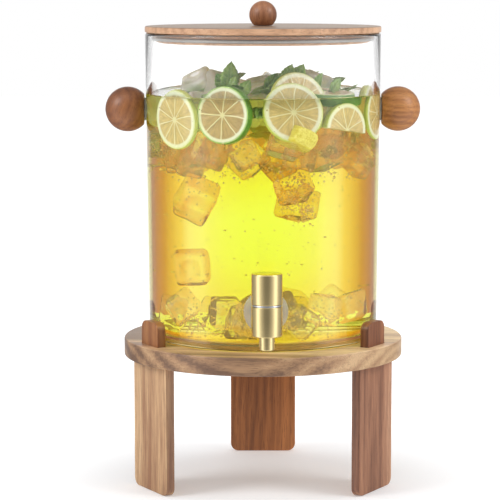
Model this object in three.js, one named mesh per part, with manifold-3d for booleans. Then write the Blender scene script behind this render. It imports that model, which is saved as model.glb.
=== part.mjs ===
// Glass drink dispenser with a wooden lid, two ball handles and a metal tap,
// standing on a round board with three plank legs.
// Millimetres, +Z up. The tap points to -Y. The origin is on the floor, under the middle of the box.
import * as THREE from 'three';
import { mergeVertices } from 'three/addons/utils/BufferGeometryUtils.js';
import Module from 'manifold-3d';

const wasm = await Module();
wasm.setup();

// ---------------------------------------------------------------- driving dimensions

const GAP = 0.3; // clearance between pieces that touch
const MARGIN = 1; // how far a cutting tool runs past what it cuts
const PLAY = 0.7; // clearance round a fastening where it passes through the glass
const FINE = 60; // segments round the jar, board and lid
const MEDIUM = 24; // segments round balls, tap and washers
const COARSE = 12; // segments round screws and small bores

const board = { radius: 120.6, top: 125.4, thickness: 15.4, edgeRound: 1.5 };
board.bottom = board.top - board.thickness;

const leg = { width: 59.3, thickness: 8.1, outerFace: 111.1, footRound: 7 };
const tab = { width: 29.5, height: 20.5, round: 7 }; // the leg's tenon, standing above the board

const jar = {
  turn: 1.4, // degrees; the jar isn't keyed to the stand
  height: 262.3,
  radiusTop: 101.3, // the mould's draft makes the jar a little wider at the top
  radiusBottom: 98.6,
  wall: 4.8,
  base: 7,
  heelRound: 6,
  footRadius: 84,
  footDepth: 1,
};
jar.bottom = board.top + GAP;
jar.top = jar.bottom + jar.height;

const lid = {
  radius: 101.3,
  thickness: 5.2,
  edgeRound: 1,
  plugRadius: 92.6,
  plugDepth: 9,
  sealRadius: 96.1,
  sealTop: 4, // below the plug's top face
  sealThickness: 2.4,
  sealGroove: 3,
  recessRadius: 7.5, // round the knob screw's head and washer
  recessDepth: 4.5,
};
lid.bottom = jar.top + GAP;
lid.top = lid.bottom + lid.thickness;

const lidKnob = {
  radius: 11.9,
  rise: 9.5, // of its centre above the lid
  screwRadius: 2,
  screwDepth: 10,
  washerRadius: 6,
  washerThickness: 0.8,
  head: { radius: 3.6, depth: 2.4, edge: 0.8, socketRadius: 1.3, socketDepth: 1.2 },
};

const handle = {
  radius: 19.25,
  reach: 116.3, // from the jar's axis to the ball's centre
  height: 322.5,
  screwRadius: 2.5,
  screwPastCentre: 4,
  outerWasherRadius: 10,
  outerWasherThickness: 1.2,
  innerWasherRadius: 8,
  innerWasherThickness: 1.6,
  plateThickness: 1,
  insertWall: 2,
  insertSetBack: 1, // from the ball's seat
  insertShort: 2, // of the screw's end
  head: { radius: 4.75, depth: 3, edge: 1, socketRadius: 1.6, socketDepth: 1.5 },
};

const tap = {
  reach: 129.5, // from the jar's axis to the tap's own axis
  inletHeight: 161,
  radius: 12.7,
  bottom: 145.8,
  bodyTop: 170.1,
  ringTop: 171.8,
  capTop: 196.9,
  capEdgeRound: 0.8,
  spoutRadius: 6.4,
  spoutBottom: 134.1,
  spoutBore: 3.8,
  neckRadius: 9,
  flangeRadius: 12.2,
  flangeThickness: 2.5,
  shankRadius: 7,
  shankBore: 4.2,
  shankInside: 80, // distance of the shank's inner end from the jar's axis
  portRadius: 3,
  socketDepth: 10, // of the neck's thread
  ringInset: 0.2,
  washerRadius: 18.5,
  washerThickness: 3,
  sealRadius: 13,
  sealThickness: 3,
  plateRadius: 12,
  plateThickness: 1.5,
  nutAcrossFlats: 22,
  nutThickness: 6,
};
tap.ringBottom = tap.bodyTop + GAP;
tap.capBottom = tap.ringTop + GAP;

// ---------------------------------------------------------------- materials

function finish(color, roughness, metalness, extra = {}) {
  return () => new THREE.MeshStandardMaterial({ color, roughness, metalness, ...extra });
}

const paleWood = finish(0xb98a5e, 0.55, 0);
const redWood = finish(0x8d5f40, 0.55, 0);
const darkWood = finish(0x79492c, 0.5, 0);
const clearGlass = finish(0xe9f2f0, 0.03, 0, { transparent: true, opacity: 0.3 });
const silicone = finish(0xe6dcd2, 0.6, 0);
const brushedBrass = finish(0xd8bd84, 0.3, 1);
const steel = finish(0xb9bbbe, 0.3, 1);
const blackRubber = finish(0x202020, 0.7, 0);

// ---------------------------------------------------------------- solids

/** Corner points of a rounded corner in a profile, as [radius, height] pairs. */
function arc(centreR, centreZ, radius, startDeg, endDeg, steps) {
  const points = [];
  for (let i = 0; i <= steps; i += 1) {
    const angle = THREE.MathUtils.degToRad(startDeg + ((endDeg - startDeg) * i) / steps);
    points.push([centreR + radius * Math.cos(angle), centreZ + radius * Math.sin(angle)]);
  }
  return points;
}

/** Solid of revolution about Z; the profile runs anticlockwise in the radius-height plane. */
function turned(profile, segments) {
  const points = profile.map(([radius, height]) => new THREE.Vector2(Math.max(radius, 0), height));
  return new THREE.LatheGeometry(points, segments).rotateX(Math.PI / 2);
}

/** Plain tube or disc about Z between two heights. */
function tube(inner, outer, low, high, segments) {
  if (inner === 0) {
    return turned([[0, low], [outer, low], [outer, high], [0, high]], segments);
  }
  return turned([[inner, low], [outer, low], [outer, high], [inner, high], [inner, low]], segments);
}

/** Turns a shape made about Z to lie about the +X axis, at the given height. */
function alongX(geometry, height) {
  return geometry.rotateY(Math.PI / 2).translate(0, 0, height);
}

/** Turns a shape made about Z to point along -Y, at the given height. */
function alongTap(geometry, height) {
  return geometry.rotateX(Math.PI / 2).translate(0, 0, height);
}

/** A closed geometry as a solid that can be joined and cut. */
function solid(geometry) {
  const bare = geometry.clone();
  bare.deleteAttribute('normal');
  bare.deleteAttribute('uv');
  const merged = mergeVertices(bare, 1e-4);
  const corners = merged.index.array;
  const triangles = [];
  for (let i = 0; i < corners.length; i += 3) {
    const [a, b, c] = [corners[i], corners[i + 1], corners[i + 2]];
    if (a !== b && b !== c && c !== a) {
      triangles.push(a, b, c);
    }
  }
  return new wasm.Manifold(new wasm.Mesh({
    numProp: 3,
    vertProperties: new Float32Array(merged.attributes.position.array),
    triVerts: new Uint32Array(triangles),
  }));
}

/** A solid back as a geometry. */
function shape(body) {
  const mesh = body.getMesh();
  const geometry = new THREE.BufferGeometry();
  geometry.setAttribute('position', new THREE.BufferAttribute(mesh.vertProperties, 3));
  geometry.setIndex(new THREE.BufferAttribute(mesh.triVerts, 1));
  geometry.computeVertexNormals();
  return geometry;
}

/** The first geometry with all the others cut away. */
function cut(geometry, ...tools) {
  return shape(tools.reduce((body, tool) => body.subtract(solid(tool)), solid(geometry)));
}

function named(name, geometry, material) {
  const mesh = new THREE.Mesh(geometry, material());
  mesh.name = name;
  return mesh;
}

/** A button-head screw about Z, its head down and a round socket in it; plain where it is threaded. */
function socketScrew(head, headTop, shankRadius, end) {
  const headBottom = headTop - head.depth;
  return turned([
    [0, headBottom + head.socketDepth],
    [head.socketRadius, headBottom + head.socketDepth],
    [head.socketRadius, headBottom],
    [head.radius - head.edge, headBottom],
    [head.radius, headBottom + head.edge],
    [head.radius, headTop],
    [shankRadius, headTop],
    [shankRadius, end],
    [0, end],
  ], COARSE);
}

// ---------------------------------------------------------------- stand

function mortise() {
  const width = tab.width + 2 * GAP;
  const depth = leg.thickness + 2 * GAP;
  const slot = new THREE.BoxGeometry(width, depth, board.thickness + 2 * MARGIN);
  return slot.translate(0, leg.outerFace - leg.thickness / 2, board.top - board.thickness / 2);
}

function standBoard(legTurns) {
  const r = board.edgeRound;
  const disc = turned([
    [0, board.bottom],
    ...arc(board.radius - r, board.bottom + r, r, -90, 0, 3),
    ...arc(board.radius - r, board.top - r, r, 0, 90, 3),
    [0, board.top],
  ], FINE);
  return cut(disc, ...legTurns.map((turn) => mortise().rotateZ(turn)));
}

/** A plank with a shoulder under the board and a round-cornered tab above it. */
function legPlank() {
  const half = leg.width / 2;
  const halfTab = tab.width / 2;
  const shoulder = board.bottom - GAP;
  const top = board.top + tab.height;
  const foot = leg.footRound;
  const outline = new THREE.Shape();
  outline.moveTo(-half + foot, 0);
  outline.lineTo(half - foot, 0);
  outline.absarc(half - foot, foot, foot, -Math.PI / 2, 0);
  outline.lineTo(half, shoulder);
  outline.lineTo(halfTab, shoulder);
  outline.lineTo(halfTab, top - tab.round);
  outline.absarc(halfTab - tab.round, top - tab.round, tab.round, 0, Math.PI / 2);
  outline.lineTo(-halfTab + tab.round, top);
  outline.absarc(-halfTab + tab.round, top - tab.round, tab.round, Math.PI / 2, Math.PI);
  outline.lineTo(-halfTab, shoulder);
  outline.lineTo(-half, shoulder);
  outline.lineTo(-half, foot);
  outline.absarc(-half + foot, foot, foot, Math.PI, 1.5 * Math.PI);
  const plank = new THREE.ExtrudeGeometry(outline, {
    depth: leg.thickness, bevelEnabled: false, curveSegments: 5,
  });
  return plank.rotateX(Math.PI / 2).translate(0, leg.outerFace, 0);
}

function makeStand() {
  const third = (2 * Math.PI) / 3;
  const legs = [['leg_rear', 0], ['leg_front_left', third], ['leg_front_right', -third]];
  const woods = [darkWood, paleWood, redWood];
  const stand = new THREE.Group();
  stand.add(named('stand_board', standBoard(legs.map(([, turn]) => turn)), redWood));
  legs.forEach(([name, turn], i) => {
    const plank = named(name, legPlank(), woods[i]);
    plank.rotation.z = turn;
    stand.add(plank);
  });
  return stand;
}

// ---------------------------------------------------------------- jar

/** Outer radius of the jar at a height above the floor. */
function jarRadius(height) {
  return jar.radiusBottom + ((jar.radiusTop - jar.radiusBottom) * (height - jar.bottom)) / jar.height;
}

/** The jar's outer wall moved out by an offset (in, where negative), as a solid plug. */
function jarPlug(offset) {
  return turned([
    [0, jar.bottom],
    [jar.radiusBottom + offset, jar.bottom],
    [jar.radiusTop + offset, jar.top],
    [0, jar.top],
  ], FINE);
}

/** A piece between two offsets of the jar's wall, so that both its faces follow the glass. */
function copedBetween(geometry, near, far) {
  return shape(solid(geometry).subtract(solid(jarPlug(near))).intersect(solid(jarPlug(far))));
}

const handleHole = handle.screwRadius + PLAY;
const tapHole = tap.shankRadius + PLAY;

function glassJar() {
  const rim = jar.wall / 2;
  const heel = jar.heelRound;
  const innerBottom = jar.radiusBottom - jar.wall;
  const floor = jar.bottom + jar.base;
  const shell = turned([
    [0, jar.bottom + jar.footDepth],
    [jar.footRadius, jar.bottom + jar.footDepth],
    [jar.footRadius + 2 * jar.footDepth, jar.bottom],
    ...arc(jar.radiusBottom - heel, jar.bottom + heel, heel, -90, 0, 4),
    ...arc(jar.radiusTop - rim, jar.top - rim, rim, 0, 180, 6),
    ...arc(innerBottom - heel, floor + heel, heel, 0, -90, 4),
    [0, floor],
  ], FINE);
  const reach = jar.radiusTop + MARGIN;
  const tapTool = alongTap(tube(0, tapHole, jar.radiusBottom / 2, reach, MEDIUM), tap.inletHeight);
  const handleTool = alongX(tube(0, handleHole, -reach, reach, COARSE), handle.height);
  return cut(shell, tapTool, handleTool);
}

// ---------------------------------------------------------------- ball handles

/** One ball handle and its fastening, on the +X side, from the ball inwards. */
function makeHandle(side) {
  const glassOut = jarRadius(handle.height);
  const glassIn = glassOut - jar.wall;
  const seat = handle.outerWasherThickness + 2 * GAP;
  const blank = handle.outerWasherThickness + MARGIN;
  const screw = handle.screwRadius;
  const screwEnd = handle.reach + handle.screwPastCentre;
  const insert = {
    outer: screw + handle.insertWall,
    low: glassOut + seat + handle.insertSetBack,
    high: screwEnd - handle.insertShort,
  };
  const washerLow = glassIn - GAP - handle.innerWasherThickness;
  const plateHigh = washerLow - GAP;
  const plateLow = plateHigh - handle.plateThickness;

  const sphere = new THREE.SphereGeometry(handle.radius, MEDIUM, MEDIUM / 2).translate(handle.reach, 0, 0);
  const ball = cut(
    sphere.translate(0, 0, handle.height),
    jarPlug(seat),
    alongX(tube(0, insert.outer + GAP, glassOut - MARGIN, insert.high + GAP, COARSE), handle.height),
    alongX(tube(0, screw + GAP, glassOut, screwEnd + GAP, COARSE), handle.height),
  );
  const outerRing = tube(screw + GAP, handle.outerWasherRadius, glassOut - blank, glassOut + blank, MEDIUM);
  const innerRing = tube(screw + GAP, handle.innerWasherRadius, washerLow, glassOut, MEDIUM);
  const insertTube = tube(screw + GAP, insert.outer, insert.low, insert.high, COARSE);
  const plate = tube(screw + GAP, handle.innerWasherRadius, plateLow, plateHigh, COARSE);
  const bolt = socketScrew(handle.head, plateLow - GAP, screw, screwEnd);

  const group = new THREE.Group();
  group.add(
    named(`handle_ball_${side}`, ball, side === 'left' ? darkWood : paleWood),
    named(`handle_outer_washer_${side}`,
      copedBetween(alongX(outerRing, handle.height), GAP, GAP + handle.outerWasherThickness), silicone),
    named(`handle_inner_washer_${side}`,
      shape(solid(alongX(innerRing, handle.height)).intersect(solid(jarPlug(-jar.wall - GAP)))), silicone),
    named(`handle_plate_${side}`, alongX(plate, handle.height), steel),
    named(`handle_insert_${side}`, alongX(insertTube, handle.height), brushedBrass),
    named(`handle_screw_${side}`, alongX(bolt, handle.height), steel),
  );
  if (side === 'left') {
    group.rotation.z = Math.PI;
  }
  return group;
}

// ---------------------------------------------------------------- tap

const glassAtTap = jarRadius(tap.inletHeight);
const tapFace = glassAtTap + tap.washerThickness + 2 * GAP; // where the tap's flange starts
const socketEnd = tapFace + tap.socketDepth; // end of the threaded socket in the tap's neck
const valve = { radius: 6.7, bottom: 152, top: 168, stemRadius: 4.5, stemTop: 186, ringRadius: 0.7 };
valve.bore = valve.radius + GAP;
valve.grooves = [155.4, 165.6];
const gland = { skirtRadius: 9.2, bore: valve.stemRadius + GAP };
const spigot = { radius: 5, top: 151.4 };

/** A vertical shape made about Z, moved to the tap's own axis. */
function onTapAxis(geometry) {
  return geometry.translate(0, -tap.reach, 0);
}

function tapBody() {
  const barrel = onTapAxis(turned([
    [0, tap.bottom], [tap.radius, tap.bottom], [tap.radius, tap.bodyTop], [0, tap.bodyTop],
  ], MEDIUM));
  const neck = alongTap(turned([
    [0, tapFace],
    [tap.flangeRadius, tapFace],
    [tap.flangeRadius, tapFace + tap.flangeThickness],
    [tap.neckRadius, tapFace + tap.flangeThickness],
    [tap.neckRadius, tap.reach],
    [0, tap.reach],
  ], MEDIUM), tap.inletHeight);
  const tools = [
    onTapAxis(tube(0, spigot.radius + GAP, tap.bottom - MARGIN, valve.bottom, COARSE)),
    onTapAxis(tube(0, valve.bore, valve.bottom - GAP, tap.bodyTop + MARGIN, MEDIUM)),
    onTapAxis(tube(0, gland.skirtRadius + GAP, valve.top, tap.bodyTop + MARGIN, MEDIUM)),
    alongTap(tube(0, tap.shankRadius + GAP, tapFace - MARGIN, socketEnd, MEDIUM), tap.inletHeight),
    alongTap(tube(0, tap.portRadius, tapFace, tap.reach - MARGIN, COARSE), tap.inletHeight),
  ];
  return shape(tools.reduce((body, tool) => body.subtract(solid(tool)), solid(barrel).add(solid(neck))));
}

function tapSpout() {
  return onTapAxis(turned([
    [tap.spoutBore, tap.spoutBottom],
    [tap.spoutRadius, tap.spoutBottom],
    [tap.spoutRadius, tap.bottom - GAP],
    [spigot.radius, tap.bottom - GAP],
    [spigot.radius, spigot.top],
    [tap.spoutBore, spigot.top],
    [tap.spoutBore, tap.spoutBottom],
  ], MEDIUM));
}

/** The metal ring between the tap's halves; its skirt screws into the body and holds the valve down. */
function tapRing() {
  return onTapAxis(turned([
    [gland.bore, valve.top + GAP],
    [gland.skirtRadius, valve.top + GAP],
    [gland.skirtRadius, tap.ringBottom],
    [tap.radius - tap.ringInset, tap.ringBottom],
    [tap.radius - tap.ringInset, tap.ringTop],
    [gland.bore, tap.ringTop],
    [gland.bore, valve.top + GAP],
  ], MEDIUM));
}

const setScrew = { radius: 1.5, height: 179, inner: 5, outer: 12 }; // ends measured from the tap's axis

function tapCap() {
  const r = tap.capEdgeRound;
  const cap = onTapAxis(turned([
    [0, valve.stemTop + GAP],
    [gland.bore, valve.stemTop + GAP],
    [gland.bore, tap.capBottom],
    [tap.radius, tap.capBottom],
    ...arc(tap.radius - r, tap.capTop - r, r, 0, 90, 3),
    [0, tap.capTop],
  ], MEDIUM));
  const hole = tube(0, setScrew.radius + GAP, valve.stemRadius, tap.radius + MARGIN, COARSE);
  return cut(cap, onTapAxis(hole.rotateX(-Math.PI / 2).translate(0, 0, setScrew.height)));
}

function tapSetScrew() {
  const screw = tube(0, setScrew.radius, setScrew.inner, setScrew.outer, COARSE);
  return onTapAxis(screw.rotateX(-Math.PI / 2).translate(0, 0, setScrew.height));
}

/** The turning plug of the valve: drink enters its side port and leaves through its bottom. */
function tapSpindle() {
  const groove = valve.ringRadius + GAP;
  const profile = [[0, valve.bottom], [valve.radius, valve.bottom]];
  valve.grooves.forEach((height) => {
    profile.push(
      [valve.radius, height - groove],
      [valve.radius - 2 * groove, height - groove],
      [valve.radius - 2 * groove, height + groove],
      [valve.radius, height + groove],
    );
  });
  profile.push(
    [valve.radius, valve.top],
    [valve.stemRadius, valve.top],
    [valve.stemRadius, valve.stemTop],
    [0, valve.stemTop],
  );
  const bore = tube(0, tap.portRadius, valve.bottom - MARGIN, tap.inletHeight, COARSE);
  const port = tube(0, tap.portRadius, 0, valve.radius + MARGIN, COARSE);
  return onTapAxis(cut(turned(profile, MEDIUM), bore, alongX(port, tap.inletHeight)));
}

function valveSeal(height) {
  const ring = new THREE.TorusGeometry(valve.radius - valve.ringRadius - GAP, valve.ringRadius, 8, MEDIUM);
  return onTapAxis(ring.translate(0, 0, height));
}

/** Pieces threaded on the inlet shank, from the outer washer to the nut inside the jar. */
function makeInlet() {
  const shank = tap.shankRadius;
  const sealLow = glassAtTap - jar.wall - GAP - tap.sealThickness;
  const plateHigh = sealLow - GAP;
  const plateLow = plateHigh - tap.plateThickness;
  const nutHigh = plateLow - GAP;
  const nutLow = nutHigh - tap.nutThickness;
  const nutRadius = tap.nutAcrossFlats / 2 / Math.cos(Math.PI / 6);
  const blankLow = glassAtTap - tap.washerThickness - MARGIN;
  const outerRing = tube(shank + GAP, tap.washerRadius, blankLow, tapFace - GAP, MEDIUM);
  const innerRing = tube(shank + GAP, tap.sealRadius, sealLow, glassAtTap, MEDIUM);
  const plate = tube(shank + GAP, tap.plateRadius, plateLow, plateHigh, MEDIUM);
  const block = tube(0, nutRadius, nutLow, nutHigh, 6);
  const thread = tube(0, shank + GAP, nutLow - MARGIN, nutHigh + MARGIN, MEDIUM);
  const onInlet = (geometry) => alongTap(geometry, tap.inletHeight);
  return [
    named('tap_outer_washer', cut(onInlet(outerRing), jarPlug(GAP)), silicone),
    named('tap_inner_washer',
      shape(solid(onInlet(innerRing)).intersect(solid(jarPlug(-jar.wall - GAP)))), silicone),
    named('tap_plate_washer', onInlet(plate), steel),
    named('tap_nut', onInlet(cut(block, thread)), brushedBrass),
    named('tap_shank', onInlet(tube(tap.shankBore, shank, tap.shankInside, socketEnd - GAP, MEDIUM)),
      brushedBrass),
  ];
}

function makeTap() {
  const group = new THREE.Group();
  group.add(
    named('tap_body', tapBody(), brushedBrass),
    named('tap_spout', tapSpout(), brushedBrass),
    named('tap_ring', tapRing(), steel),
    named('tap_cap', tapCap(), brushedBrass),
    named('tap_set_screw', tapSetScrew(), steel),
    named('tap_spindle', tapSpindle(), brushedBrass),
    named('valve_seal_lower', valveSeal(valve.grooves[0]), blackRubber),
    named('valve_seal_upper', valveSeal(valve.grooves[1]), blackRubber),
    ...makeInlet(),
  );
  return group;
}

// ---------------------------------------------------------------- lid

const lidScrewHole = lidKnob.screwRadius + GAP;

function lidDisc() {
  const r = lid.edgeRound;
  return turned([
    [lidScrewHole, lid.bottom],
    ...arc(lid.radius - r, lid.bottom + r, r, -90, 0, 2),
    ...arc(lid.radius - r, lid.top - r, r, 0, 90, 2),
    [lidScrewHole, lid.top],
    [lidScrewHole, lid.bottom],
  ], FINE);
}

const plug = { top: lid.bottom - GAP, bottom: lid.bottom - GAP - lid.plugDepth };
plug.recessTop = plug.bottom + lid.recessDepth;

function lidPlug() {
  const grooveTop = plug.top - lid.sealTop;
  const grooveBottom = grooveTop - lid.sealThickness - 2 * GAP;
  const grooveRadius = lid.plugRadius - lid.sealGroove;
  return turned([
    [lid.recessRadius, plug.bottom],
    [lid.plugRadius, plug.bottom],
    [lid.plugRadius, grooveBottom],
    [grooveRadius, grooveBottom],
    [grooveRadius, grooveTop],
    [lid.plugRadius, grooveTop],
    [lid.plugRadius, plug.top],
    [lidScrewHole, plug.top],
    [lidScrewHole, plug.recessTop],
    [lid.recessRadius, plug.recessTop],
    [lid.recessRadius, plug.bottom],
  ], FINE);
}

function lidSeal() {
  const high = plug.top - lid.sealTop - GAP;
  const low = high - lid.sealThickness;
  const r = lid.sealThickness / 2;
  const inner = lid.plugRadius - lid.sealGroove + GAP;
  return turned([
    [inner, low],
    ...arc(lid.sealRadius - r, low + r, r, -90, 90, 4),
    [inner, high],
    [inner, low],
  ], FINE);
}

function makeLid() {
  const foot = lid.top + GAP;
  const centre = lid.top + lidKnob.rise;
  const footAngle = THREE.MathUtils.radToDeg(Math.asin((foot - centre) / lidKnob.radius));
  const screwTop = lid.top + lidKnob.screwDepth;
  const knob = turned([
    [0, screwTop + GAP],
    [lidScrewHole, screwTop + GAP],
    [lidScrewHole, foot],
    ...arc(0, centre, lidKnob.radius, footAngle, 90, 10),
  ], MEDIUM);
  const washerHigh = plug.recessTop - GAP;
  const washerLow = washerHigh - lidKnob.washerThickness;
  const washer = tube(lidScrewHole, lidKnob.washerRadius, washerLow, washerHigh, COARSE);
  const group = new THREE.Group();
  group.add(
    named('lid_disc', lidDisc(), redWood),
    named('lid_plug', lidPlug(), redWood),
    named('lid_seal', lidSeal(), silicone),
    named('lid_knob', knob, darkWood),
    named('lid_knob_washer', washer, steel),
    named('lid_knob_screw', socketScrew(lidKnob.head, washerLow - GAP, lidKnob.screwRadius, screwTop), steel),
  );
  return group;
}

// ---------------------------------------------------------------- assembly

const vessel = new THREE.Group();
vessel.add(named('glass_jar', glassJar(), clearGlass), makeHandle('left'), makeHandle('right'), makeTap());
vessel.rotation.z = THREE.MathUtils.degToRad(jar.turn);

const dispenser = new THREE.Group();
dispenser.add(makeStand(), vessel, makeLid());

const box = new THREE.Box3().setFromObject(dispenser, true);
const middle = box.getCenter(new THREE.Vector3());
dispenser.position.set(-middle.x, -middle.y, -box.min.z);

export default dispenser;
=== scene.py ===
"""Looks of the glass drink dispenser: wood, glass, brushed brass and the drink inside, on the CAD frame."""
import math
import random

import bmesh
import bpy
from mathutils import Matrix, Vector, noise


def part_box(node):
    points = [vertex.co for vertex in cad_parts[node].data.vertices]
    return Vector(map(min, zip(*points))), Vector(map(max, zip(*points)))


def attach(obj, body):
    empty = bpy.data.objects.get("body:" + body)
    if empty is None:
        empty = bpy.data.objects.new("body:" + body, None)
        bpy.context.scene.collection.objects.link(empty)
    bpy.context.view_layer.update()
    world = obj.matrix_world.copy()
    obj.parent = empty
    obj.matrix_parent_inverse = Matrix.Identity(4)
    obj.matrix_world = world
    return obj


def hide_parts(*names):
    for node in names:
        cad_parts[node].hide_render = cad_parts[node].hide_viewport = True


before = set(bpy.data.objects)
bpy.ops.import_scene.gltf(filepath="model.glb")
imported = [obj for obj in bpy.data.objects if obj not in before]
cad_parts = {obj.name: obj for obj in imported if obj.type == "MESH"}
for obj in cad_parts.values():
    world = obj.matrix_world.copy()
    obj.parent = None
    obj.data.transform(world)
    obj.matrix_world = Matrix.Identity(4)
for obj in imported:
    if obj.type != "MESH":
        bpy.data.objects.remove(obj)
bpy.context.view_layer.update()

MM = 0.001
FINE = 192  # segments round the jar, board and lid
MEDIUM = 96  # segments round the balls and the tap
COARSE = 48  # segments round screws and washers

# --- places and sizes from the frame

lid_low, lid_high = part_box("lid_disc")
AXIS = Vector(((lid_low.x + lid_high.x) / 2, (lid_low.y + lid_high.y) / 2, 0))  # the jar's own axis
jar_low, jar_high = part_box("glass_jar")
board_low, board_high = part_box("stand_board")
cap_low, cap_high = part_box("tap_cap")
TAP = Vector(((cap_low.x + cap_high.x) / 2, (cap_low.y + cap_high.y) / 2, 0))  # the tap's own axis
TAP_TURN = math.atan2((TAP - AXIS).x, -(TAP - AXIS).y)  # how far the jar is turned on its stand
INLET = sum(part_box("tap_shank"), Vector()).z / 2  # height of the tap's inlet
HANDLE = sum(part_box("handle_ball_right"), Vector()).z / 2  # height of the ball handles

WALL = 4.8 * MM
BASE = 7 * MM
HEEL = 6 * MM  # the rounding where wall and base meet
FOOT_RADIUS = 84 * MM  # of the dished middle of the jar's underside
TAP_HOLE = 7.7 * MM  # radius
HANDLE_HOLE = 3.2 * MM  # radius
BALL_REACH = 116.3 * MM  # from the jar's axis to a ball's centre
RING_SHOW = 1.4 * MM  # how much of the tap's ring is seen
jar_vertices = [v.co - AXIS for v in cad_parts["glass_jar"].data.vertices]
RADIUS_TOP = max(v.xy.length for v in jar_vertices)
RADIUS_BOTTOM = max(v.xy.length for v in jar_vertices if v.z < jar_low.z + 2 * HEEL)
DRINK_TOP = 335 * MM
WET_TOP = DRINK_TOP + 1.2 * MM  # how high the drink wets the glass
GAP = 0.04 * MM  # between the drink's own mesh and the wet glass, which does the bending of light
PLAY = 0.3 * MM  # what the CAD leaves between touching parts
AT_AXIS = Matrix.Translation(AXIS)
ON_JAR = AT_AXIS @ Matrix.Rotation(TAP_TURN, 4, "Z")  # the jar's axis, turned to its tap


def jar_radius(z):
    """Outer radius of the jar's wall at a height."""
    return RADIUS_BOTTOM + (RADIUS_TOP - RADIUS_BOTTOM) * (z - jar_low.z) / (jar_high.z - jar_low.z)


# --- mesh tools


def linked(name, data):
    """A new object in the scene."""
    made = bpy.data.objects.new(name, data)
    bpy.context.scene.collection.objects.link(made)
    return made


def mesh_of(name, bm):
    """A finished bmesh as a mesh."""
    mesh = bpy.data.meshes.new(name)
    bmesh.ops.recalc_face_normals(bm, faces=bm.faces)
    bm.to_mesh(mesh)
    bm.free()
    return mesh


def smooth(mesh, degrees):
    """Smooth shading, except over edges that are sharper than an angle."""
    mesh.shade_smooth()
    mesh.set_sharp_from_angle(angle=math.radians(degrees))


def add_piece(name, bm, materials, body, smooth_angle=35):
    """A finished bmesh as an object that rides on a body."""
    mesh = mesh_of(name, bm)
    smooth(mesh, smooth_angle)
    for material in materials if isinstance(materials, (list, tuple)) else [materials]:
        mesh.materials.append(material)
    piece = linked(name, mesh)
    if body:
        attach(piece, body)
    return piece


def add_content(name, bm, material, place, smooth_angle=60):
    """A piece that is built about its own origin, put in its place in the jar."""
    piece = add_piece(name, bm, material, None, smooth_angle)
    piece.matrix_world = place
    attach(piece, "jar")
    return piece


def rounded(corners, steps=4):
    """A profile with rounded corners. A corner is (r, z) or (r, z, its own radius); the ends stay sharp."""
    points = []
    for i, corner in enumerate(corners):
        here = Vector(corner[:2])
        size = corner[2] if len(corner) > 2 else 0
        if i in (0, len(corners) - 1) or size == 0:
            points.append(here)
            continue
        before = Vector(corners[i - 1][:2]) - here
        after = Vector(corners[i + 1][:2]) - here
        half = before.angle(after) / 2
        reach = min(size / math.tan(half), 0.49 * before.length, 0.49 * after.length)
        centre = here + (before.normalized() + after.normalized()).normalized() * reach / math.cos(half)
        start = here + before.normalized() * reach - centre
        end = here + after.normalized() * reach - centre
        swing = math.atan2(start.x * end.y - start.y * end.x, start.dot(end))
        for k in range(steps + 1):
            points.append(centre + Matrix.Rotation(swing * k / steps, 2) @ start)
    return points


def skin(bm, rings, closed=False, around=None):
    """Faces between each ring of vertices and the next, and if closed from the last to the first.

    An open ring has one column of faces fewer than it has vertices, which around then says.
    """
    for low, high in zip(rings, rings[1:] + (rings[:1] if closed else [])):
        for k in range(around or len(low)):
            n = (k + 1) % len(low)
            corners = list(dict.fromkeys((low[k], low[n], high[n], high[k])))
            if len(corners) > 2:
                bm.faces.new(corners)


def lathe(profile, segments, place=Matrix(), closed=False):
    """A bmesh of revolution about Z. Unless closed, the profile starts and ends on the axis."""
    bm = bmesh.new()
    rings = []
    for r, z in profile:
        if r < 1e-7:
            rings.append([bm.verts.new((0, 0, z))] * segments)
        else:
            turn = (2 * math.pi * k / segments for k in range(segments))
            rings.append([bm.verts.new((r * math.cos(a), r * math.sin(a), z)) for a in turn])
    skin(bm, rings, closed)
    bm.transform(place)
    return bm


def spin(angle, axis="Z"):
    return Matrix.Rotation(angle, 4, axis)


def along(direction, origin):
    """A matrix that takes Z to a direction and the origin to a point."""
    return Matrix.Translation(origin) @ Vector(direction).to_track_quat("Z", "Y").to_matrix().to_4x4()


def cut(piece, cutters):
    """Cuts bmeshes out of a piece."""
    for cutter in cutters:
        tool = linked("cutter", mesh_of("cutter", cutter))
        boolean = piece.modifiers.new("cut", "BOOLEAN")
        boolean.object = tool
        boolean.operation = "DIFFERENCE"
        boolean.solver = "EXACT"
        apply_modifiers(piece)
        bpy.data.objects.remove(tool)


def apply_modifiers(piece):
    graph = bpy.context.evaluated_depsgraph_get()
    mesh = bpy.data.meshes.new_from_object(piece.evaluated_get(graph))
    piece.modifiers.clear()
    piece.data = mesh


def box_mesh(low, high, place=Matrix()):
    bm = bmesh.new()
    bmesh.ops.create_cube(bm, size=1)
    size = Vector(high) - Vector(low)
    middle = (Vector(high) + Vector(low)) / 2
    bm.transform(place @ Matrix.Translation(middle) @ Matrix.Diagonal((*size, 1)))
    return bm


def stand_in(piece, replaced):
    """Hides the CAD node that a piece takes the place of. The piece is not used."""
    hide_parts(replaced)


def turned(name, corners, segments, place, material, body, steps=4, closed=False):
    """A turned piece, with the corners of rounded(). A closed profile ends where it starts, off the axis."""
    profile = rounded(corners, steps)
    if closed:
        profile.pop()
    return add_piece(name, lathe(profile, segments, place, closed), material, body)


def ball_profile(radius, seat, steps):
    """A ball about the origin, cut flat at the height of its seat, with an eased edge."""
    start = math.asin(seat / radius)
    turns = [start + (math.pi / 2 - start) * k / steps for k in range(1, steps)]
    profile = [(0, seat), (radius * math.cos(start) - 0.3 * MM, seat)]
    return profile + [(radius * math.cos(a), radius * math.sin(a)) for a in turns] + [(0, radius)]


# --- material tools


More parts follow.
